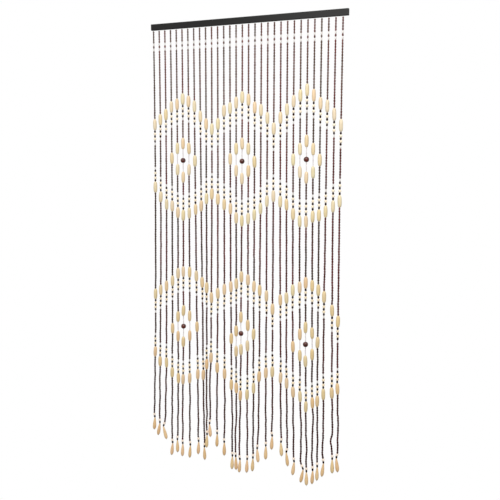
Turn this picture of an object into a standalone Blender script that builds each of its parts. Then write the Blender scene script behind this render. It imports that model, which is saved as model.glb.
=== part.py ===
"""A bead curtain on its hanging rod: thirty-one strands of wooden beads below a painted slat.

Metres, +Z up. The rod lies along X with its back face on the plane Y = 0 and centred on the
origin, and the room that looks at the curtain is on the -Y side. Strand 1 is at the -X end.
"""

import math

import bmesh
import bpy

# Rod: a planed slat with eased edges
ROD_LENGTH = 0.893
ROD_DEPTH = 0.014
ROD_HEIGHT = 0.026
ROD_EASING = 0.0015
ROD_EASING_STEPS = 2

# Strip that the strands are knotted to, let into the underside of the rod, and how far up into it
# the strands reach
STRIP_LENGTH = 0.884
STRIP_DEPTH = 0.0076
STRIP_HEIGHT = 0.0060
CLEARANCE = 0.0003
ROOT = STRIP_HEIGHT / 2

# Spacing of the strands, how far the middle one hangs from the middle of the rod, which reaches
# further past the last strand than past the first, and the bare thread above each first bead
PITCH = 0.0287
ASIDE = -0.0065
BARE_THREAD = 0.0003

# Beads: length along the thread and widest diameter
SMALL_LENGTH = 0.0109
SMALL_WIDTH = 0.0070
LIGHT_WIDTH = 0.0115
SEED_LENGTH = 0.00545
OVAL_LENGTH = 0.050
OVAL_WIDTH = 0.0165
ROUND_LENGTH = 0.022
ROUND_WIDTH = 0.022
DROP_LENGTH = 0.060
DROP_WIDTH = 0.0155

# Outline of each large bead: (distance along it, width there), as shares of its length and width
OVAL_OUTLINE = ((0.00, 0.38), (0.16, 0.94), (0.84, 0.94), (1.00, 0.38))
ROUND_OUTLINE = ((0.00, 0.28), (0.24, 0.88), (0.76, 0.88), (1.00, 0.28))
DROP_OUTLINE = ((0.00, 0.40), (0.30, 0.74), (0.66, 1.00), (0.90, 0.74), (1.00, 0.22))

# The two rows of lozenges repeat every ten strands, and their peaks are at strands 6, 16 and 26
LOZENGE_REPEAT = 10
PEAK_STRAND = 6

# Beads that never change: small ones above the first long run, seeds beside each round bead,
# seeds between a pair of ovals, and the light and the brown bead above each drop
HEADING_BEADS = 8
SEEDS_BY_ROUND = 7
SEEDS_BY_PAIR = 8
BEADS_ABOVE_DROP = 2

# Bands of small beads next to the outer ovals, and the places of the light ones from the top
BAND_BEADS = 6
LIGHT_IN_UPPER_BAND = (2, 4)
LIGHT_IN_LOWER_BAND = (3, 5)

# Small brown beads in each run of each strand, strand 1 first. "in" is the run from the upper
# band to the middle of a lozenge and "out" the run from there to its lower band; a strand with
# nothing in the middle has one run. Lean is how far the tip hangs to the right, in millimetres.
RUNS = (
    # first, upper in, upper out, between, lower in, lower out, tail, lean
    (27, 9, 0, 41, 9, 0, 26, -40),
    (25, 15, 0, 35, 15, 0, 24, -39),
    (23, 20, 0, 30, 17, 0, 25, -30),
    (20, 10, 9, 27, 10, 9, 28, -26),
    (19, 7, 7, 21, 8, 8, 24, -23),
    (17, 7, 5, 19, 6, 6, 25, -22),
    (18, 8, 7, 20, 8, 8, 26, -12),
    (20, 11, 9, 23, 11, 10, 26, 4),
    (24, 19, 0, 27, 23, 0, 28, 7),
    (27, 13, 0, 32, 16, 0, 27, -7),
    (29, 9, 0, 38, 9, 0, 25, -22),
    (27, 13, 0, 34, 15, 0, 25, -17),
    (22, 20, 0, 30, 19, 0, 26, -2),
    (21, 9, 9, 27, 11, 9, 27, 9),
    (19, 7, 8, 22, 9, 5, 26, -1),
    (17, 7, 6, 18, 6, 9, 24, -14),
    (18, 8, 8, 20, 8, 10, 24, -3),
    (21, 10, 10, 24, 9, 12, 26, -2),
    (22, 21, 0, 28, 19, 0, 27, -7),
    (25, 15, 0, 33, 15, 0, 27, 0),
    (29, 9, 0, 40, 9, 0, 23, 5),
    (25, 15, 0, 34, 15, 0, 23, 21),
    (22, 19, 0, 32, 18, 0, 25, 17),
    (19, 11, 10, 25, 12, 8, 25, 19),
    (17, 9, 8, 21, 8, 6, 26, 27),
    (15, 8, 6, 19, 7, 8, 23, 20),
    (17, 9, 6, 22, 8, 9, 24, 19),
    (20, 10, 10, 24, 10, 13, 23, 14),
    (21, 22, 0, 28, 22, 0, 24, 8),
    (24, 17, 0, 35, 16, 0, 23, 22),
    (28, 11, 0, 41, 10, 0, 24, 15),
)

# Depth below the rod at which the leans above are reached, and the slight wave front to back
LEAN_DEPTH = 1.9
WAVE = 0.004
WAVE_STEP = 1.7

MILLIMETRE = 0.001
WELD = 1e-6
CHARCOAL_PAINT = (0.045, 0.045, 0.046)
BROWN_STAIN = (0.115, 0.060, 0.045)


def clear_scene():
    """Removes every object of the startup scene."""
    for old in list(bpy.data.objects):
        bpy.data.objects.remove(old, do_unlink=True)


def make_collection(name):
    made = bpy.data.collections.new(name)
    bpy.context.scene.collection.children.link(made)
    return made


def make_material(name, colour, roughness):
    """A plain Principled material for one kind of piece."""
    material = bpy.data.materials.new(name)
    material.use_nodes = True
    shader = material.node_tree.nodes["Principled BSDF"]
    shader.inputs["Base Color"].default_value = (*colour, 1.0)
    shader.inputs["Roughness"].default_value = roughness
    return material


def make_box(name, size, collection):
    """A box of the given size, centred on its own origin."""
    mesh = bpy.data.meshes.new(name)
    shape = bmesh.new()
    bmesh.ops.create_cube(shape, size=1.0)
    bmesh.ops.scale(shape, vec=size, verts=shape.verts)
    shape.to_mesh(mesh)
    shape.free()
    box = bpy.data.objects.new(name, mesh)
    collection.objects.link(box)
    return box


def from_peak(number):
    """How many strands this one is away from the nearest peak of the lozenges."""
    half = LOZENGE_REPEAT // 2
    return abs((number - PEAK_STRAND + half) % LOZENGE_REPEAT - half)


class Outline:
    """The widths of one strand, listed downwards from the underside of the rod."""

    def __init__(self):
        self.depth = BARE_THREAD
        self.sections = [(-ROOT, SMALL_WIDTH)]

    def run(self, beads):
        """Small beads of one width, whose only sections are those of what comes above and below."""
        self.depth += beads * SMALL_LENGTH

    def seeds(self, beads):
        self.depth += beads * SEED_LENGTH

    def large(self, outline, length, width):
        """One large bead with its own outline."""
        for along, share in outline:
            self.sections.append((self.depth + along * length, share * width))
        self.depth += length

    def band(self, light_beads):
        """Small beads of which two are light and wider, numbered from the top of the band."""
        for light in light_beads:
            self.sections.append((self.depth + (light - 0.5) * SMALL_LENGTH, LIGHT_WIDTH))
            self.sections.append((self.depth + (light + 0.5) * SMALL_LENGTH, SMALL_WIDTH))
        self.run(BAND_BEADS)

    def oval(self):
        self.large(OVAL_OUTLINE, OVAL_LENGTH, OVAL_WIDTH)

    def middle(self, distance):
        """What a lozenge has at its centre, by the strand's distance from the peak."""
        if distance == 0:
            self.oval()
            self.seeds(SEEDS_BY_ROUND)
            self.large(ROUND_OUTLINE, ROUND_LENGTH, ROUND_WIDTH)
            self.seeds(SEEDS_BY_ROUND)
            self.oval()
        elif distance == 1:
            self.oval()
            self.seeds(SEEDS_BY_PAIR)
            self.oval()
        elif distance == 2:
            self.oval()

    def lozenge(self, distance, run_in, run_out):
        """One strand's share of a lozenge, from its upper oval to its lower oval."""
        self.oval()
        self.band(LIGHT_IN_UPPER_BAND)
        self.run(run_in)
        self.middle(distance)
        self.run(run_out)
        self.band(LIGHT_IN_LOWER_BAND)
        self.oval()


def strand_sections(number, first, upper_in, upper_out, between, lower_in, lower_out, tail):
    """All the sections of one strand, from the rod to the tip of its drop."""
    outline = Outline()
    distance = from_peak(number)
    outline.run(HEADING_BEADS + first)
    outline.lozenge(distance, upper_in, upper_out)
    outline.run(between)
    outline.lozenge(distance, lower_in, lower_out)
    outline.run(tail + BEADS_ABOVE_DROP)
    outline.large(DROP_OUTLINE, DROP_LENGTH, DROP_WIDTH)
    return outline.sections


def add_strand(curve, number, runs):
    """One strand as a straight-sided spline whose point radii are its half widths."""
    *counts, lean = runs
    middle = (len(RUNS) + 1) / 2
    sections = strand_sections(number, *counts)
    spline = curve.splines.new("POLY")
    spline.points.add(len(sections) - 1)
    for point, (depth, width) in zip(spline.points, sections):
        hung = max(depth, 0.0) / LEAN_DEPTH
        across = ASIDE + (number - middle) * PITCH + lean * MILLIMETRE * hung**2
        wave = WAVE * math.sin(WAVE_STEP * number) * hung**2
        point.co = (across, wave, -STRIP_HEIGHT / 2 - depth, 1.0)
        point.radius = width / 2


clear_scene()
curtain = make_collection("bead_curtain")
cutters = make_collection("cutters")

# Rod, with a groove along its underside for the strip
rod = make_box("rod", (ROD_LENGTH, ROD_DEPTH, ROD_HEIGHT), curtain)
rod.location = (0.0, -ROD_DEPTH / 2, 0.0)
easing = rod.modifiers.new("eased_edges", "BEVEL")
easing.width = ROD_EASING
easing.segments = ROD_EASING_STEPS
groove_size = (
    STRIP_LENGTH + 2 * CLEARANCE,
    STRIP_DEPTH + 2 * CLEARANCE,
    2 * (STRIP_HEIGHT + CLEARANCE),
)
groove = make_box("groove", groove_size, cutters)
groove.parent = rod
groove.location = (0.0, 0.0, -ROD_HEIGHT / 2)
groove.hide_render = True
cut = rod.modifiers.new("groove_cut", "BOOLEAN")
cut.operation = "DIFFERENCE"
cut.solver = "EXACT"
cut.object = groove
rod.data.materials.append(make_material("painted_slat", CHARCOAL_PAINT, 0.55))

# Strands, drawn as one bevelled curve of four sides and turned into a mesh
lines = bpy.data.curves.new("strand_lines", "CURVE")
lines.dimensions = "3D"
lines.bevel_depth = 1.0
lines.bevel_resolution = 0
lines.use_fill_caps = True
for number, runs in enumerate(RUNS, start=1):
    add_strand(lines, number, runs)
drawn = bpy.data.objects.new("strand_lines", lines)
cutters.objects.link(drawn)
drawn.hide_render = True
graph = bpy.context.evaluated_depsgraph_get()
hanging_mesh = bpy.data.meshes.new_from_object(drawn.evaluated_get(graph))
welded = bmesh.new()
welded.from_mesh(hanging_mesh)
bmesh.ops.remove_doubles(welded, verts=welded.verts, dist=WELD)
bmesh.ops.recalc_face_normals(welded, faces=welded.faces)
welded.to_mesh(hanging_mesh)
welded.free()
hanging = bpy.data.objects.new("hanging_strands", hanging_mesh)
cutters.objects.link(hanging)
hanging.hide_render = True

# The strip joins the strands at their roots and sits in the groove
strands = make_box("strands", (STRIP_LENGTH, STRIP_DEPTH, STRIP_HEIGHT), curtain)
strands.parent = rod
strands.location = (0.0, 0.0, (STRIP_HEIGHT - ROD_HEIGHT) / 2)
hanging.parent = strands
fused = strands.modifiers.new("fused_roots", "BOOLEAN")
fused.operation = "UNION"
fused.solver = "EXACT"
fused.object = hanging
strands.data.materials.append(make_material("strung_beads", BROWN_STAIN, 0.50))
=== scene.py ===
import math

import bpy
import numpy as np
from mathutils import Matrix, Vector


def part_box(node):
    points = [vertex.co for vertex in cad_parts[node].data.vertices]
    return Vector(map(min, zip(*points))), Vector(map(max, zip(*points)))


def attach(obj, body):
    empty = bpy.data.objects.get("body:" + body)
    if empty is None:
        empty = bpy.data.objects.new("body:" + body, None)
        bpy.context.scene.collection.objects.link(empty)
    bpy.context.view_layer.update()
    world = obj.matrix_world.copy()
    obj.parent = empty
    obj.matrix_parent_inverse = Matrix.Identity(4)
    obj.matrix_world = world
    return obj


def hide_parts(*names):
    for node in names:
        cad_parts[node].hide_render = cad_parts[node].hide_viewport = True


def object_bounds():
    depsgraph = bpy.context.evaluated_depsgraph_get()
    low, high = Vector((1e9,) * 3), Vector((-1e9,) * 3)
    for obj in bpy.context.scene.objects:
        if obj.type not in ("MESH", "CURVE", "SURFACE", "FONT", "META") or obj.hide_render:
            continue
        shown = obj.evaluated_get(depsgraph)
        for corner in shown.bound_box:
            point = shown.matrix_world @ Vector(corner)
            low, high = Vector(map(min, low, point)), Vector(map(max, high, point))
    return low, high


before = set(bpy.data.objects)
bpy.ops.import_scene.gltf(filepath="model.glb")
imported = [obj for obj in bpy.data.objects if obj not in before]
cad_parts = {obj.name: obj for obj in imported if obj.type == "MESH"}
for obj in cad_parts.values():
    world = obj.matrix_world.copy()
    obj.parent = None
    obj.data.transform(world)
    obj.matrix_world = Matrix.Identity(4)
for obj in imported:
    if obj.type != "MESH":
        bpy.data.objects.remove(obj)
cad_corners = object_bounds()


# Rod. A planed softwood slat with eased edges, brushed with matt charcoal paint that lets the
# grain show through and is rubbed thin along its edges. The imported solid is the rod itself, so
# only its finish is made here.
CHARCOAL = (22, 22, 22)
CHARCOAL_FADED = (38, 38, 36)
# Painted sheen: the lighter charcoal that the paint turns to towards the right end of the slat
CHARCOAL_PAINTED_SHEEN = (45, 45, 44)
PAINTED_SHEEN_FROM = -0.0893
RUBBED_EDGE = (84, 80, 76)
EDGE_RUB = 0.0012
RUBBED_GRAIN = (0.42, 0.68)
PLANED_GRAIN = (9, 420, 420)
BRUSH_MARKS = (4, 1500, 1500)
PAINT_CLOUDS = (7, 30, 30)


def shade(red, green, blue):
    """A colour of a paint chart, 0 to 255, as the linear colour that a shader takes."""
    chart = np.array((red, green, blue)) / 255
    linear = np.where(chart > 0.04045, ((chart + 0.055) / 1.055) ** 2.4, chart / 12.92)
    return (*linear.tolist(), 1.0)


class Tone:
    """A socket of a finish. Sums, differences and products of tones add Math nodes to it."""

    def __init__(self, finish, socket):
        self.finish = finish
        self.socket = socket

    def worked(self, operation, first, second):
        """The tone that a Math node makes of two tones or numbers."""
        values = {0: first, 1: second}
        return self.finish.node("ShaderNodeMath", {"operation": operation}, values)

    def __add__(self, other):
        return self.worked("ADD", self, other)

    def __mul__(self, other):
        return self.worked("MULTIPLY", self, other)

    def __sub__(self, other):
        return self.worked("SUBTRACT", self, other)

    def __rsub__(self, other):
        return self.worked("SUBTRACT", other, self)

    __radd__ = __add__
    __rmul__ = __mul__


class Finish:
    """The paint, stain or varnish of one kind of piece, mixed in the nodes of a new material, or
    the light of the surround, mixed in those of a world."""

    def __init__(self, owner, shader, constants):
        owner.use_nodes = True
        self.owner = owner
        self.tree = owner.node_tree
        self.shader = self.tree.nodes[shader]
        self.lay(constants)

    @classmethod
    def of(cls, name, **constants):
        """A finish on a Principled shader, with the constants of its sockets by name."""
        named = {socket.replace("_", " "): value for socket, value in constants.items()}
        return cls(bpy.data.materials.new(name), "Principled BSDF", named)

    def node(self, kind, settings, values, out=0):
        """Adds a node, makes its settings, then sets or links its inputs, and gives one output."""
        made = self.tree.nodes.new(kind)
        for setting, value in settings.items():
            setattr(made, setting, value)
        self.join(made, values)
        return Tone(self, made.outputs[out])

    def join(self, node, values):
        """Sets each named input of a node to a number or colour, or links a tone to it."""
        for place, value in values.items():
            if isinstance(value, Tone):
                self.tree.links.new(node.inputs[place], value.socket)
            else:
                node.inputs[place].default_value = value

    def lay(self, values):
        """Puts tones, numbers or colours on the shader's own sockets."""
        self.join(self.shader, values)

    def place(self):
        """The place on the piece, in metres from the frame's origin."""
        return self.node("ShaderNodeTexCoord", {}, {}, out="Object")

    def parts(self, vector):
        """The three numbers of a vector, as tones."""
        split = self.node("ShaderNodeSeparateXYZ", {}, {0: vector}).socket.node
        return [Tone(self, part) for part in split.outputs]

    def noise(self, place, repeats, detail=3.0):
        """Soft noise from 0 to 1 with so many repeats to a metre along X, Y and Z."""
        factors = {0: place, 1: repeats}
        drawn_out = self.node("ShaderNodeVectorMath", {"operation": "MULTIPLY"}, factors)
        values = {"Vector": drawn_out, "Scale": 1.0, "Detail": detail, "Roughness": 0.55}
        return self.node("ShaderNodeTexNoise", {}, values)

    def between(self, value, low, high):
        """0 below the low value and 1 above the high one, with a smooth step between them."""
        values = {"Value": value, "From Min": low, "From Max": high}
        return self.node("ShaderNodeMapRange", {"interpolation_type": "SMOOTHSTEP"}, values)

    def mixed(self, share, first, second):
        """The first colour where the share is 0 and the second where it is 1."""
        values = {0: share, 6: first, 7: second}
        return self.node("ShaderNodeMix", {"data_type": "RGBA"}, values, out=2)

    def hung(self, high, low):
        """0 above a depth under the rod and 1 below a lower one, both in metres."""
        _, _, height = self.parts(self.place())
        return self.between(height * -1, high, low)

    def bump(self, height, depth):
        """A normal from a height of 0 to 1 that stands for a relief this deep, in metres."""
        return self.node("ShaderNodeBump", {}, {"Height": height, "Distance": depth})


def charcoal_paint(name, low, high):
    """Matt charcoal paint on a planed slat with these corners, its grain along X. It is painted
    lighter towards the right as a painted sheen, and is rubbed thin within a little of the front
    edges."""
    finish = Finish.of(name, Specular_IOR_Level=0.22)
    place = finish.place()
    grain = finish.noise(place, PLANED_GRAIN, detail=4.0)
    brushed = finish.noise(place, BRUSH_MARKS, detail=2.0)
    cloudy = finish.noise(place, PAINT_CLOUDS)
    across, forward, height = finish.parts(place)
    front = finish.between(forward * -1, -low.y - EDGE_RUB, -low.y)
    above = finish.between(height, high.z - EDGE_RUB, high.z)
    below = finish.between(height * -1, -low.z - EDGE_RUB, -low.z)
    rubbed = front * (above + below) * finish.between(grain, *RUBBED_GRAIN)
    # Painted sheen: the paint is painted lighter from a little left of the middle to the right end
    painted_sheen = finish.between(across, PAINTED_SHEEN_FROM, high.x)
    paint = finish.mixed(cloudy * 0.7 + grain * 0.3, shade(*CHARCOAL), shade(*CHARCOAL_FADED))
    paint = finish.mixed(painted_sheen, paint, shade(*CHARCOAL_PAINTED_SHEEN))
    finish.lay(
        {
            "Base Color": finish.mixed(rubbed, paint, shade(*RUBBED_EDGE)),
            "Roughness": 0.48 + grain * 0.22,
            "Normal": finish.bump(grain * 0.7 + brushed * 0.3, depth=0.00025),
        }
    )
    return finish


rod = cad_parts["rod"]
rod_low, rod_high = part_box("rod")
rod.data.materials.clear()
rod.data.materials.append(charcoal_paint("charcoal_rod", rod_low, rod_high).owner)


# Threads. Thirty-one lengths of twisted white nylon hang from a painted strip let into the
# underside of the rod. Each is strung to the chart below, with small brown beads for the ground
# and ovals for the lozenges, and ends in a barrel knot under its drop.
PITCH = 0.0287
ASIDE = -0.0065
BARE_THREAD = 0.0033
SMALL_LENGTH = 0.0109
BEAD_LENGTHS = {"t": 0.0079, "s": 0.00545, "O": 0.050, "R": 0.022, "D": 0.060}
BEAD_LENGTHS |= dict.fromkeys("bkwl", SMALL_LENGTH)

# One letter for each bead: topmost brown, brown, dark (k), white, light, seed, Oval, Round, Drop
HEADING = "tbbbbwbw"
UPPER_BAND = "klklkw"
LOWER_BAND = "wklklk"
MIDDLES = ("O" + "s" * 7 + "R" + "s" * 7 + "O", "O" + "s" * 8 + "O", "O", "", "", "")
FOOT = "lkD"
PEAK_STRAND = 6
LOZENGE_REPEAT = 10

# Brown beads in each run, and how far right the tip hangs in millimetres. "in" is the run from a
# lozenge's upper band to its middle, and "out" the run from there to its lower band.
RUNS = (
    # first, upper in, upper out, between, lower in, lower out, tail, lean
    (27, 9, 0, 41, 9, 0, 26, -40),
    (25, 15, 0, 35, 15, 0, 24, -39),
    (23, 20, 0, 30, 17, 0, 25, -30),
    (20, 10, 9, 27, 10, 9, 28, -26),
    (19, 7, 7, 21, 8, 8, 24, -23),
    (17, 7, 5, 19, 6, 6, 25, -22),
    (18, 8, 7, 20, 8, 8, 26, -12),
    (20, 11, 9, 23, 11, 10, 26, 4),
    (24, 19, 0, 27, 23, 0, 28, 7),
    (27, 13, 0, 32, 16, 0, 27, -7),
    (29, 9, 0, 38, 9, 0, 25, -22),
    (27, 13, 0, 34, 15, 0, 25, -17),
    (22, 20, 0, 30, 19, 0, 26, -2),
    (21, 9, 9, 27, 11, 9, 27, 9),
    (19, 7, 8, 22, 9, 5, 26, -1),
    (17, 7, 6, 18, 6, 9, 24, -14),
    (18, 8, 8, 20, 8, 10, 24, -3),
    (21, 10, 10, 24, 9, 12, 26, -2),
    (22, 21, 0, 28, 19, 0, 27, -7),
    (25, 15, 0, 33, 15, 0, 27, 0),
    (29, 9, 0, 40, 9, 0, 23, 5),
    (25, 15, 0, 34, 15, 0, 23, 21),
    (22, 19, 0, 32, 18, 0, 25, 17),
    (19, 11, 10, 25, 12, 8, 25, 19),
    (17, 9, 8, 21, 8, 6, 26, 27),
    (15, 8, 6, 19, 7, 8, 23, 20),
    (17, 9, 6, 22, 8, 9, 24, 19),
    (20, 10, 10, 24, 10, 13, 23, 14),
    (21, 22, 0, 28, 22, 0, 24, 8),
    (24, 17, 0, 35, 16, 0, 23, 22),
    (28, 11, 0, 41, 10, 0, 24, 15),
)
LEAN_DEPTH = 1.9
WAVE = 0.004
WAVE_STEP = 1.7
SLACK = 0.00050
WANDERS = (
    # width, radians to a metre down the strand, radians from strand to strand
    (0.00110, 9.1, 2.4),
    (0.00066, 21.7, 4.1),
    (0.00088, 52.0, 1.3),
)

# Where a strand is bent aside by its neighbours or by its own stiff thread
KINKS = (
    # strand, depth, to the right, half length
    (3, 1.810, -0.0050, 0.030),
    (9, 1.885, -0.0020, 0.030),
    (10, 1.640, -0.0025, 0.090),
    (11, 1.565, -0.0045, 0.060),
    (14, 1.700, 0.0040, 0.100),
    (15, 1.830, -0.0060, 0.075),
    (19, 1.840, -0.0040, 0.050),
    (24, 1.760, 0.0035, 0.080),
    (25, 1.700, 0.0030, 0.090),
    (25, 1.845, -0.0030, 0.022),
    (25, 1.888, 0.0070, 0.020),
    (26, 1.790, 0.0035, 0.070),
    (26, 1.945, 0.0050, 0.060),
    (27, 1.670, 0.0050, 0.080),
    (29, 1.690, 0.0040, 0.120),
    (29, 1.880, 0.0050, 0.060),
    (30, 1.660, 0.0035, 0.120),
    (30, 1.740, -0.0060, 0.024),
    (31, 1.670, 0.0035, 0.120),
)

# Degrees by which a drop hangs askew, its foot to the right
DROP_TURNS = {1: -3, 2: -6, 3: 12, 4: -6, 6: -3, 7: -3, 8: -2, 11: 5, 14: -4, 16: -3}
DROP_TURNS |= {19: 3, 20: 4, 21: -4, 22: 4, 23: 8, 24: -6, 25: -8, 27: -3, 29: -4, 31: 9}

THREAD_WIDTH = 0.0009
THREAD_SIDES = 6
THREAD_IN_STRIP = 0.0025
THREAD_END = 0.0015
STEEP = 0.9
KNOT_TURNS = 3
KNOT_WIDTH = 0.0026
KNOT_LENGTH = 0.0022
KNOT_POINTS = 36
NYLON = (226, 222, 214)
NYLON_SHADED = (196, 190, 180)


def threading(number, first, upper_in, upper_out, between, lower_in, lower_out, tail):
    """The beads of one strand from the rod down, as letters."""
    half = LOZENGE_REPEAT // 2
    middle = MIDDLES[abs((number - PEAK_STRAND + half) % LOZENGE_REPEAT - half)]
    upper = UPPER_BAND + "b" * upper_in + middle + "b" * upper_out + LOWER_BAND
    lower = UPPER_BAND + "b" * lower_in + middle + "b" * lower_out + LOWER_BAND
    top = HEADING + "b" * first + f"O{upper}O"
    return top + "b" * between + f"O{lower}O" + "b" * tail + FOOT


def hang(strand, depth):
    """Where a thread is at a depth below the rod: a lean, a front to back wave and a wander of
    three sines, which all grow with the square of the depth, and a bell curve for each kink."""
    share = (np.maximum(depth, 0) / LEAN_DEPTH) ** 2
    leaning = np.array([runs[-1] for runs in RUNS])[strand - 1] / 1000
    for width, along, apart in WANDERS:
        leaning = leaning + width * np.sin(along * depth + apart * strand)
    across = ASIDE + (strand - (len(RUNS) + 1) / 2) * PITCH + leaning * share
    for number, at, aside, reach in KINKS:
        across = across + (strand == number) * aside * np.exp(-(((depth - at) / reach) ** 2))
    forward = (rod_low.y + rod_high.y) / 2 + WAVE * np.sin(WAVE_STEP * strand) * share
    return np.stack([across, forward, rod_low.z - depth], axis=-1)


def add_piece(name, finish, points, faces, facts=None, slot="strung_beads"):
    """Makes one smooth mesh of the points and of arrays of faces with their corners, on the
    curtain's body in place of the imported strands. Facts hold a vector for each point."""
    mesh = bpy.data.meshes.new(name)
    sizes = np.concatenate([np.full(len(some), some.shape[1]) for some in faces])
    corners = np.concatenate([some.ravel() for some in faces])
    mesh.vertices.add(len(points))
    mesh.vertices.foreach_set("co", points.astype(np.float32).ravel())
    mesh.loops.add(len(corners))
    mesh.loops.foreach_set("vertex_index", corners.astype(np.int32))
    mesh.polygons.add(len(sizes))
    mesh.polygons.foreach_set("loop_start", (np.cumsum(sizes) - sizes).astype(np.int32))
    for fact, values in (facts or {}).items():
        layer = mesh.attributes.new(fact, "FLOAT_VECTOR", "POINT")
        layer.data.foreach_set("vector", values.astype(np.float32).ravel())
    mesh.update(calc_edges=True)
    mesh.shade_smooth()
    mesh.materials.append(finish.owner)
    piece = bpy.data.objects.new(name, mesh)
    bpy.context.scene.collection.objects.link(piece)
    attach(piece, "root")
    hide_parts("strands")


def tube(path, radius, sides):
    """A tube along a path: a circle set square to the path at each point and turned by the Y axis,
    or by X where the path is too steep along Y, with a flat cap at each end. Gives its points, a
    ring for each point of the path, and its side quads and two caps."""
    ahead = np.gradient(path, axis=0)
    ahead /= np.linalg.norm(ahead, axis=1, keepdims=True)
    steady = np.where(np.abs(ahead[:, 1:2]) < STEEP, (0.0, 1.0, 0.0), (1.0, 0.0, 0.0))
    first = np.cross(steady, ahead)
    first /= np.linalg.norm(first, axis=1, keepdims=True)
    second = np.cross(ahead, first)
    turn = (np.arange(sides) * 2 * np.pi / sides)[None, :, None]
    ring = np.cos(turn) * first[:, None] + np.sin(turn) * second[:, None]
    points = path[:, None] + radius * ring
    here = np.arange(len(path) * sides).reshape(-1, sides)
    after = np.roll(here, -1, axis=1)
    quads = np.stack([here[:-1], after[:-1], after[1:], here[1:]], axis=-1).reshape(-1, 4)
    return points.reshape(-1, 3), [quads, np.stack([here[0, ::-1], here[-1]])]


def joined(shapes):
    """Several shapes, each its points and its face arrays, as one of both."""
    starts = np.cumsum([0] + [len(points) for points, _ in shapes])
    faces = [some + start for (_, parts), start in zip(shapes, starts) for some in parts]
    return np.concatenate([points for points, _ in shapes]), faces


random = np.random.default_rng(31)
strand_numbers = np.arange(1, len(RUNS) + 1)
orders = [threading(number, *runs[:-1]) for number, runs in zip(strand_numbers, RUNS)]
letters = np.array(list("".join(orders)))
strand_of = np.repeat(strand_numbers, [len(order) for order in orders])

# Each joint is where one bead ends and the next begins, the last being the knot under the drop
lengths_of = [[BARE_THREAD] + [BEAD_LENGTHS[letter] for letter in order] for order in orders]
joint_depth = np.concatenate([np.cumsum(lengths) for lengths in lengths_of])
joint_strand = np.repeat(strand_numbers, [len(lengths) for lengths in lengths_of])
slack = random.normal(0, SLACK, (len(joint_depth), 3)) * (1, 1, 0)
joints = hang(joint_strand, joint_depth) + slack * (joint_depth / LEAN_DEPTH)[:, None]
last_joint = np.cumsum([len(lengths) for lengths in lengths_of]) - 1
turns = np.radians([DROP_TURNS.get(number, 0) for number in strand_numbers])
swing = BEAD_LENGTHS["D"] / 2 * np.tan(turns)
joints[last_joint, 0] += swing
joints[last_joint - 1, 0] -= swing
joints[last_joint - 2, 0] -= swing / 2
upper_joint = np.arange(len(letters)) + strand_of - 1
bead_tops = joints[upper_joint]
bead_feet = joints[upper_joint + 1]

thread_shapes = []
for number in strand_numbers:
    strung = joints[joint_strand == number]
    root = strung[:1] + (0, 0, BARE_THREAD + THREAD_IN_STRIP)
    end = strung[-1:] - (0, 0, KNOT_LENGTH + THREAD_END)
    thread_shapes.append(tube(np.concatenate([root, strung, end]), THREAD_WIDTH / 2, THREAD_SIDES))
    share = np.linspace(0, 1, KNOT_POINTS)
    turn = 2 * np.pi * KNOT_TURNS * share
    wound = (KNOT_WIDTH - THREAD_WIDTH) / 2
    coil = np.stack([wound * np.cos(turn), wound * np.sin(turn), -KNOT_LENGTH * share], axis=-1)
    thread_shapes.append(tube(strung[-1] + coil, THREAD_WIDTH / 2, THREAD_SIDES))

nylon = Finish.of("nylon_thread", Roughness=0.45)
plies = nylon.node(
    "ShaderNodeTexWave",
    {"wave_type": "BANDS", "bands_direction": "DIAGONAL"},
    {"Vector": nylon.place(), "Scale": 420.0, "Distortion": 0.6},
)
nylon.lay(
    {
        "Base Color": nylon.mixed(plies, shade(*NYLON_SHADED), shade(*NYLON)),
        "Normal": nylon.bump(plies, depth=0.0002),
    }
)
add_piece("threads", nylon, *joined(thread_shapes))


# Strip. A thin batten let into the groove under the rod, painted with it, that the threads come
# out of. Its edges are eased.
STRIP_LENGTH = 0.884
STRIP_DEPTH = 0.0076
STRIP_HEIGHT = 0.0060
STRIP_EASING = 0.0006
CORNER_STEPS = 4


def eased_box(low, high, easing):
    """A box with rounded long edges: a rectangle with quarter circles at its corners, in Y and Z,
    carried along X, and a flat cap at each end."""
    turn = np.linspace(0, np.pi / 2, CORNER_STEPS)
    corners = np.array([(1, 1), (-1, 1), (-1, -1), (1, -1)])
    half = (high - low)[1:] / 2 - easing
    angles = turn + np.arange(len(corners))[:, None] * np.pi / 2
    round_y = corners[:, :1] * half[0] + easing * np.cos(angles)
    round_z = corners[:, 1:] * half[1] + easing * np.sin(angles)
    middle = (low + high)[1:] / 2
    rim = np.stack([round_y.ravel() + middle[0], round_z.ravel() + middle[1]], axis=-1)
    count = len(rim)
    rings = [np.concatenate([np.full((count, 1), x), rim], axis=1) for x in (low[0], high[0])]
    here = np.arange(count)
    after = np.roll(here, -1)
    sides = np.stack([here, after, after + count, here + count], axis=-1)
    return np.concatenate(rings), [sides, np.stack([here[::-1], here + count])]


strip_low = np.array((-STRIP_LENGTH / 2, (rod_low.y + rod_high.y - STRIP_DEPTH) / 2, rod_low.z))
strip_high = strip_low + (STRIP_LENGTH, STRIP_DEPTH, STRIP_HEIGHT)
strip_paint = charcoal_paint("charcoal_strip", rod_low, rod_high)
strip = eased_box(strip_low, strip_high, STRIP_EASING)
add_piece("strip", strip_paint, *strip, slot="painted_slat")
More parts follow.
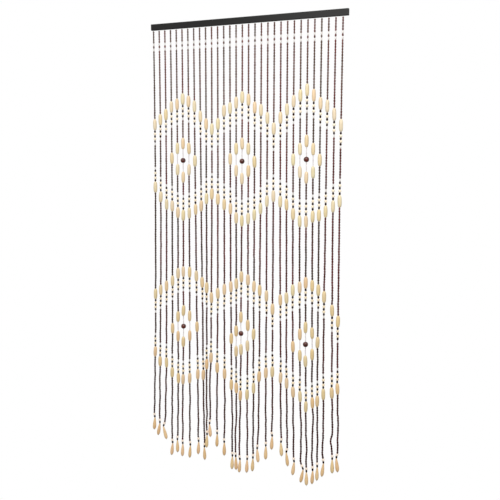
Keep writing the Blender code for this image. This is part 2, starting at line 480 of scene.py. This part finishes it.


# Small brown beads. Rice-shaped wooden beads, drilled along the grain and stained dark brown in
# several batches, so that some run to plum and some to grey. They are threaded end to end and
# make the ground of every strand. Near the rod they are painted paler as painted light, and
# towards the foot darker as painted shade.
BROWN_WIDTH = 0.0088
BORE = 0.0011
FIT = 0.985
UNEVEN = 0.05
TILT = 0.02
SLIM_DEPTH = 0.9
HANDFUL = 15
HANDFUL_SPREAD = 0.22
STRAND_SPREAD = 1.4 * HANDFUL_SPREAD
PIECE_STRANDS = {"left": (1, 10), "middle": (11, 21), "right": (22, 31)}
PLUM_BROWN = (114, 40, 46)
GREY_BROWN = (74, 60, 54)
DEEP_AND_SHADED_BROWN = (64, 28, 24)
# Painted light: the paler plum and grey painted on beads near the rod, and the depths over which it
# fades out
PAINTED_LIT_PLUM = (132, 80, 76)
PAINTED_LIT_GREY = (114, 98, 86)
PAINTED_LIGHT_TO_DEPTH = (0.05, 0.95)
# Painted shade: beads are painted darker over these depths down to the foot
PAINTED_SHADE_FROM_DEPTH = (0.8, 1.9)
FIBRES = (2600, 2600, 260)
BLOTCHES = (380, 380, 300)


def barrel(rings, ends, fullness, roundness):
    """Heights from 1 down to 0 and the radius at each, as shares: a superellipse whose fullness is
    its power along the bead and whose roundness its power across, on blunt ends."""
    height = (1 + np.cos(np.linspace(0, np.pi, rings))) / 2
    swell = (1 - np.abs(2 * height - 1) ** fullness) ** (1 / roundness)
    return height, ends + (1 - ends) * swell


def string_beads(chosen, outline, width, sides, bore=BORE, slim=0.0, tilt=TILT):
    """The chosen beads as one set of closed shapes. The outline is turned round the bead's own
    axis and closed by the wall of its bore, then laid between the bead's two ends on the thread
    with its own width, spin and tilt. Slim is the share by which the topmost are narrower. Gives
    points, quads and two facts: cut is the place in the bead, moved to its own block of wood,
    and batch is its own tone, its stretch's tone and its tint."""
    count = np.count_nonzero(chosen)
    height, radius = outline
    level = np.concatenate([height[:1], height, height[-1:]])
    reach = np.concatenate([[bore / width * 2], radius, [bore / width * 2]])
    turn = np.arange(sides) * 2 * np.pi / sides
    top, foot = bead_tops[chosen], bead_feet[chosen]
    axis = top - foot
    length = np.linalg.norm(axis, axis=1, keepdims=True)
    axis = axis / length + random.normal(0, tilt, (count, 3))
    axis /= np.linalg.norm(axis, axis=1, keepdims=True)
    first = np.cross(axis, (0.0, 1.0, 0.0))
    first /= np.linalg.norm(first, axis=1, keepdims=True)
    second = np.cross(axis, first)
    slimmer = slim * np.clip(1 + top[:, 2, None, None] / SLIM_DEPTH, 0, 1)
    widths = width / 2 * (1 - slimmer + UNEVEN * random.uniform(-1, 1, (count, 1, 1)))
    spin = turn + random.uniform(0, 2 * np.pi, (count, 1))
    east = widths * reach[:, None] * np.cos(spin)[:, None]
    north = widths * reach[:, None] * np.sin(spin)[:, None]
    up = ((level - 0.5) * FIT * length)[:, :, None] * np.ones(sides)
    points = ((top + foot) / 2)[:, None, None] + east[..., None] * first[:, None, None]
    points = points + north[..., None] * second[:, None, None] + up[..., None] * axis[:, None, None]
    block = random.uniform(0, 1, (count, 1, 1, 3))
    cut = np.stack([east, north, up], axis=-1) + block
    own = random.uniform(0, 1, (count, 1, 1)) * np.ones_like(up)
    batch = batch_tones[chosen][:, None, None] * np.ones_like(up)
    tint = random.uniform(0, 1, (count, 1, 1)) * np.ones_like(up)
    grid = np.arange(up.size).reshape(up.shape)
    below = np.roll(grid, -1, axis=1)
    corners = [grid, below, np.roll(below, -1, axis=2), np.roll(grid, -1, axis=2)]
    quads = np.stack(corners, axis=-1).reshape(-1, 4)
    return points.reshape(-1, 3), [quads], {"cut": cut, "batch": np.stack([own, batch, tint], -1)}


def stretch_tones():
    """A tone for each bead, about a half: noise smoothed over a handful of beads down the strand,
    as they come from the bag, and a shift for each whole strand."""
    steps = random.normal(0, 1, len(letters))
    window = np.hanning(HANDFUL)
    smooth = np.convolve(steps, window / np.sqrt((window**2).sum()), "same")
    by_strand = random.normal(0, STRAND_SPREAD, len(RUNS))[strand_of - 1]
    return np.clip(0.5 + HANDFUL_SPREAD * smooth + by_strand, 0, 1)


def bead_facts(finish):
    """The facts that string_beads gives: cut, own tone, stretch's tone and tint."""
    cut = finish.node("ShaderNodeAttribute", {"attribute_name": "cut"}, {}, out="Vector")
    batch = finish.node("ShaderNodeAttribute", {"attribute_name": "batch"}, {}, out="Vector")
    return cut, *finish.parts(batch)


batch_tones = stretch_tones()
brown = Finish.of("brown_stain", Specular_IOR_Level=0.07)
cut, own_tone, batch_tone, tint = bead_facts(brown)
fibres = brown.noise(cut, FIBRES)
blotches = brown.noise(cut, BLOTCHES)
# Painted light: beads near the rod are painted paler, fading to their own stain lower down
painted_top_light = 1 - brown.hung(*PAINTED_LIGHT_TO_DEPTH)
# Deeper brown at random for each bead and in blotches, and painted shade that darkens the beads
# towards the foot
deep_and_shade_share = own_tone * 0.5 + blotches * 0.2 + brown.hung(*PAINTED_SHADE_FROM_DEPTH) * 0.5
dye = brown.mixed(batch_tone, shade(*GREY_BROWN), shade(*PLUM_BROWN))
painted_light_dye = brown.mixed(batch_tone, shade(*PAINTED_LIT_GREY), shade(*PAINTED_LIT_PLUM))
dye = brown.mixed(painted_top_light * (0.5 + tint * 0.5), dye, painted_light_dye)
brown.lay(
    {
        "Base Color": brown.mixed(deep_and_shade_share, dye, shade(*DEEP_AND_SHADED_BROWN)),
        "Roughness": 0.42 + fibres * 0.25,
        "Normal": brown.bump(fibres, depth=0.00012),
    }
)
rice = barrel(rings=5, ends=0.50, fullness=2.2, roundness=1.5)
for side, (first_strand, last_strand) in PIECE_STRANDS.items():
    inside = np.isin(letters, ["t", "b"]) & (strand_of >= first_strand) & (strand_of <= last_strand)
    shape = string_beads(inside, rice, BROWN_WIDTH, sides=8, slim=0.15)
    add_piece(f"brown_beads_{side}", brown, *shape)


# Dark beads. The same rice-shaped beads soaked a second time, so that they are almost black. They
# part the light and white beads of the bands, and one sits on each drop. Towards the foot they
# are painted blacker still as painted shade.
DARK_WIDTH = 0.0094
SOAKED_BROWN = (52, 24, 16)
SOAKED_AND_SHADED_BLACK = (30, 12, 8)

soaked = Finish.of("soaked_stain", Specular_IOR_Level=0.04)
cut, own_tone, *_ = bead_facts(soaked)
fibres = soaked.noise(cut, FIBRES)
# Near black at random for each bead and in blotches, and painted shade that darkens the beads
# towards the foot
black_and_shade_share = own_tone * 0.4 + soaked.noise(cut, BLOTCHES) * 0.2
black_and_shade_share = black_and_shade_share + soaked.hung(*PAINTED_SHADE_FROM_DEPTH) * 0.6
soaked.lay(
    {
        "Base Color": soaked.mixed(black_and_shade_share, shade(*SOAKED_BROWN), shade(*SOAKED_AND_SHADED_BLACK)),
        "Roughness": 0.40 + fibres * 0.25,
        "Normal": soaked.bump(fibres, depth=0.00012),
    }
)
dark_rice = barrel(rings=5, ends=0.38, fullness=2.2, roundness=1.5)
shape = string_beads(letters == "k", dark_rice, DARK_WIDTH, sides=8, slim=0.12)
add_piece("dark_beads", soaked, *shape)


# White beads. Painted wooden beads of the same length with fuller ends: two near the top of each
# strand and one at the inner end of each band.
WHITE_WIDTH = 0.0072
PAINTED_WHITE = (230, 226, 222)
PAINTED_WARM = (218, 208, 202)
PAINT_DABS = (700, 700, 500)

white = Finish.of("white_paint", Specular_IOR_Level=0.45)
cut, own_tone, *_ = bead_facts(white)
dabs = white.noise(cut, PAINT_DABS)
warm_share = own_tone * 0.6 + dabs * 0.4
white.lay(
    {
        "Base Color": white.mixed(warm_share, shade(*PAINTED_WHITE), shade(*PAINTED_WARM)),
        "Roughness": 0.30 + dabs * 0.2,
        "Normal": white.bump(dabs, depth=0.00008),
    }
)
full_rice = barrel(rings=5, ends=0.62, fullness=2.2, roundness=1.5)
add_piece("white_beads", white, *string_beads(letters == "w", full_rice, WHITE_WIDTH, sides=10))


# Seeds. The finest beads, pearl white, in a short row between the ovals in the middle of each
# lozenge and on either side of its round bead.
SEED_WIDTH = 0.0046
PEARL = (232, 226, 224)
PEARL_SHADED = (214, 204, 204)
PEARL_CLOUDS = (500, 500, 500)

seed = Finish.of("pearl_seed", Specular_IOR_Level=0.6, Roughness=0.22)
cut, own_tone, *_ = bead_facts(seed)
shaded_share = own_tone * 0.5 + seed.noise(cut, PEARL_CLOUDS) * 0.5
seed.lay({"Base Color": seed.mixed(shaded_share, shade(*PEARL), shade(*PEARL_SHADED))})
grain_of_rice = barrel(rings=4, ends=0.66, fullness=2.2, roundness=1.6)
add_piece("seed_beads", seed, *string_beads(letters == "s", grain_of_rice, SEED_WIDTH, sides=8))


# Light beads. Plump unvarnished wooden beads, two in each band between the dark ones and one
# above each drop.
LIGHT_WIDTH = 0.0123
RAW_WOOD = (249, 239, 214)
RAW_WOOD_PINK = (248, 230, 205)
# Painted shade: the tanner, darker wood that light beads are painted towards the foot
RAW_WOOD_SHADED = (241, 219, 183)
BLEACHED_WOOD = (250, 232, 214)
BLEACHED_FROM_DEPTH = (1.66, 1.72)
# Painted shade: the depths over which light beads and ovals are painted tanner and darker
PAINTED_SHADE_DEPTHS = (0.2, 2.2)
RAW_FIBRES = (1600, 1600, 160)
RAW_RINGS = (420, 420, 90)

light = Finish.of("raw_wood", Specular_IOR_Level=0.35)
cut, own_tone, *_ = bead_facts(light)
fibres = light.noise(cut, RAW_FIBRES)
pink_share = own_tone * 0.45 + light.noise(cut, RAW_RINGS) * 0.55
light_wood = light.mixed(pink_share, shade(*RAW_WOOD), shade(*RAW_WOOD_PINK))
# Painted shade: the beads are painted tanner and darker towards the foot
light_wood = light.mixed(light.hung(*PAINTED_SHADE_DEPTHS), light_wood, shade(*RAW_WOOD_SHADED))
bleached = light.hung(*BLEACHED_FROM_DEPTH)
light.lay(
    {
        "Base Color": light.mixed(bleached, light_wood, shade(*BLEACHED_WOOD)),
        "Roughness": 0.50 + fibres * 0.2,
        "Normal": light.bump(fibres, depth=0.0001),
    }
)
plump = barrel(rings=7, ends=0.42, fullness=2.0, roundness=2.0)
add_piece("light_beads", light, *string_beads(letters == "l", plump, LIGHT_WIDTH, sides=12))


# Ovals. Large turned beads of pale varnished hardwood that draw the lozenges, one above and one
# below each band and up to four in a middle. The grain runs along them, and no two are alike.
OVAL_WIDTH = 0.0165
OVAL_BORE = 0.0016
PALE_PINK_WOOD = (229, 213, 185)
PALE_YELLOW_WOOD = (228, 219, 178)
# Tanner wood, for riper beads at random and for painted shade lower down
RIPE_AND_SHADED_PINK_WOOD = (232, 193, 144)
RIPE_AND_SHADED_YELLOW_WOOD = (228, 197, 138)
GRAIN_BROWN = (186, 146, 104)
OVAL_GROWTH = (520, 520, 26)
OVAL_PORES = (2400, 2400, 120)
OVAL_FIGURE = (160, 160, 45)
GROWTH_LINES = (0.52, 0.72)
OPEN_PORES = (0.6, 0.8)

varnished = Finish.of("pale_varnished_wood", Specular_IOR_Level=0.45, Coat_Weight=0.15)
cut, own_tone, _, tint = bead_facts(varnished)
growth = varnished.noise(cut, OVAL_GROWTH, detail=4.0)
pores = varnished.noise(cut, OVAL_PORES, detail=2.0)
figure = varnished.noise(cut, OVAL_FIGURE)
# Riper wood at random for each bead and by its figure, and painted shade that tans and darkens the
# ovals towards the foot
ripe_and_shaded = varnished.hung(*PAINTED_SHADE_DEPTHS) * 0.55 + own_tone * 0.5 + figure * 0.3 - 0.1
pale_wood = varnished.mixed(tint, shade(*PALE_PINK_WOOD), shade(*PALE_YELLOW_WOOD))
ripe_and_shaded_wood = varnished.mixed(tint, shade(*RIPE_AND_SHADED_PINK_WOOD), shade(*RIPE_AND_SHADED_YELLOW_WOOD))
body = varnished.mixed(ripe_and_shaded, pale_wood, ripe_and_shaded_wood)
lines = varnished.between(growth, *GROWTH_LINES)
streaks = lines * 0.45 + varnished.between(pores, *OPEN_PORES) * 0.2
varnished.lay(
    {
        "Base Color": varnished.mixed(streaks, body, shade(*GRAIN_BROWN)),
        "Roughness": 0.34 + growth * 0.18,
        "Normal": varnished.bump(growth * 0.6 + pores * 0.4, depth=0.00015),
    }
)
olive = barrel(rings=13, ends=0.36, fullness=2.8, roundness=2.1)
shape = string_beads(letters == "O", olive, OVAL_WIDTH, sides=18, bore=OVAL_BORE, tilt=0.012)
add_piece("oval_beads", varnished, *shape)


# Round beads. One at the centre of each lozenge, turned from a dark red-brown hardwood and
# polished to a high gloss.
ROUND_WIDTH = 0.022
RED_BROWN = (98, 34, 20)
HEART_BROWN = (44, 17, 10)
HEARTWOOD = (260, 260, 40)
HEART_LINES = (0.35, 0.7)

polished = Finish.of("polished_hardwood", Roughness=0.12, Specular_IOR_Level=0.1)
polished.lay({"Coat Weight": 1.0, "Coat Roughness": 0.03})
cut, *_ = bead_facts(polished)
heart = polished.noise(cut, HEARTWOOD, detail=4.0)
heart_share = polished.between(heart, *HEART_LINES)
polished.lay(
    {
        "Base Color": polished.mixed(heart_share, shade(*RED_BROWN), shade(*HEART_BROWN)),
        "Normal": polished.bump(heart, depth=0.0001),
    }
)
ball = barrel(rings=15, ends=0.22, fullness=2.0, roundness=2.0)
shape = string_beads(letters == "R", ball, ROUND_WIDTH, sides=24, bore=OVAL_BORE, tilt=0.01)
add_piece("round_beads", polished, *shape)


# Drops. A pear-shaped bead of pale wood closes each strand, narrow where the thread goes in and
# full near its foot, left matt. The knot under it holds the whole strand.
DROP_WIDTH = 0.0155
DROP_NECK = 0.36
DROP_BELLY = 0.30
DROP_FOOT = 0.36
DROP_RINGS = 18
NECK_HOLLOW = 1.15
FOOT_TURN = 2.4
FOOT_BLUNT = 0.7
MATT_PEACH = (244, 206, 166)
MATT_YELLOW = (236, 212, 158)
MATT_TAN = (222, 182, 130)
DROP_GRAIN = (190, 146, 100)
DROP_GROWTH = (480, 480, 24)
DROP_FIBRES = (2200, 2200, 150)
DROP_LINES = (0.5, 0.75)


def pear(rings):
    """Heights from 1 down to 0 and the radius at each, as shares: from a narrow neck it swells as
    a power of a quarter sine to its belly, then closes as a superellipse to a blunt foot."""
    height = (1 + np.cos(np.linspace(0, np.pi, rings))) / 2
    fall = np.clip((1 - height) / (1 - DROP_BELLY), 0, 1)
    swell = DROP_NECK + (1 - DROP_NECK) * np.sin(np.pi / 2 * fall) ** NECK_HOLLOW
    last = np.clip(1 - height / DROP_BELLY, 0, 1)
    close = np.clip(1 - last**FOOT_TURN, 0, 1) ** FOOT_BLUNT
    return height, swell * (DROP_FOOT + (1 - DROP_FOOT) * close)


matt = Finish.of("matt_wood", Specular_IOR_Level=0.35)
cut, own_tone, _, tint = bead_facts(matt)
growth = matt.noise(cut, DROP_GROWTH, detail=4.0)
fibres = matt.noise(cut, DROP_FIBRES)
drop_wood = matt.mixed(tint, shade(*MATT_PEACH), shade(*MATT_YELLOW))
body = matt.mixed(own_tone * 0.6 + growth * 0.4, drop_wood, shade(*MATT_TAN))
streaks = matt.between(growth, *DROP_LINES) * 0.4
matt.lay(
    {
        "Base Color": matt.mixed(streaks, body, shade(*DROP_GRAIN)),
        "Roughness": 0.52 + fibres * 0.2,
        "Normal": matt.bump(fibres, depth=0.00012),
    }
)
drop = pear(DROP_RINGS)
shape = string_beads(letters == "D", drop, DROP_WIDTH, sides=20, bore=OVAL_BORE, tilt=0.0)
add_piece("drop_beads", matt, *shape)


# Studio. A white floor under a white surround, a broad soft light from the right and front and a
# weaker one behind on the left, and the camera right of the curtain at about half its height.
FLOOR_BELOW = 0.03
FLOOR_REACH = 7.0
EYE = (1.213, -2.6061, -0.5063)
EYE_TURN = math.radians(24.46)
EYE_DIP = math.radians(8.44)
EYE_ROLL = math.radians(0.14)
LENS = 48.28
LENS_SHIFT = -0.012
WHITE = (1.0, 1.0, 1.0, 1.0)
BLACK = (0.0, 0.0, 0.0, 1.0)
SKY = 0.95
GROUND = 0.25
HORIZON_BLUR = 0.5
LAMPS = {
    # name: (place, side, watts)
    "key": ((0.9, -2.4, 0.9), 1.6, 58.0),
    "rim": ((-1.6, 2.2, 0.8), 2.0, 14.0),
}
LIT_POINT = (0.0, 0.0, -1.0)

floor_z = cad_corners[0].z - FLOOR_BELOW
floor_corners = FLOOR_REACH * np.array([(-1, -1), (1, -1), (1, 1), (-1, 1)])
floor_mesh = bpy.data.meshes.new("floor")
floor_mesh.from_pydata([(x, y, floor_z) for x, y in floor_corners], [], [(0, 1, 2, 3)])
floor_paint = Finish.of("white_floor", Base_Color=BLACK, Specular_IOR_Level=0.0, Roughness=1.0)
floor_paint.lay({"Emission Color": WHITE, "Emission Strength": 1.0})
floor_mesh.materials.append(floor_paint.owner)
floor = bpy.data.objects.new("floor", floor_mesh)
bpy.context.scene.collection.objects.link(floor)
floor.visible_diffuse = False
floor.visible_glossy = False

surround = Finish(bpy.data.worlds.new("white_surround"), "Background", {"Color": WHITE})
outwards = surround.node("ShaderNodeTexCoord", {}, {}, out="Generated")
_, _, upwards = surround.parts(outwards)
lit = surround.between(upwards, -HORIZON_BLUR, HORIZON_BLUR) * (SKY - GROUND) + GROUND
seen = surround.node("ShaderNodeLightPath", {}, {}, out="Is Camera Ray")
surround.lay({"Strength": lit * (1 - seen) + seen})
bpy.context.scene.world = surround.owner

for name, (place, side, watts) in LAMPS.items():
    lamp = bpy.data.lights.new(name, "AREA")
    lamp.size = side
    lamp.energy = watts
    held = bpy.data.objects.new(name, lamp)
    held.location = place
    held.visible_camera = False
    away = held.location - Vector(LIT_POINT)
    held.rotation_euler = away.to_track_quat("Z", "Y").to_euler()
    bpy.context.scene.collection.objects.link(held)

lens = bpy.data.cameras.new("camera")
lens.lens = LENS
lens.shift_y = LENS_SHIFT
camera = bpy.data.objects.new("camera", lens)
turned = Matrix.Rotation(EYE_TURN, 4, "Z") @ Matrix.Rotation(math.pi / 2 - EYE_DIP, 4, "X")
camera.matrix_world = Matrix.Translation(EYE) @ turned @ Matrix.Rotation(EYE_ROLL, 4, "Z")
bpy.context.scene.collection.objects.link(camera)
bpy.context.scene.camera = camera
bpy.context.scene.view_settings.view_transform = "Standard"
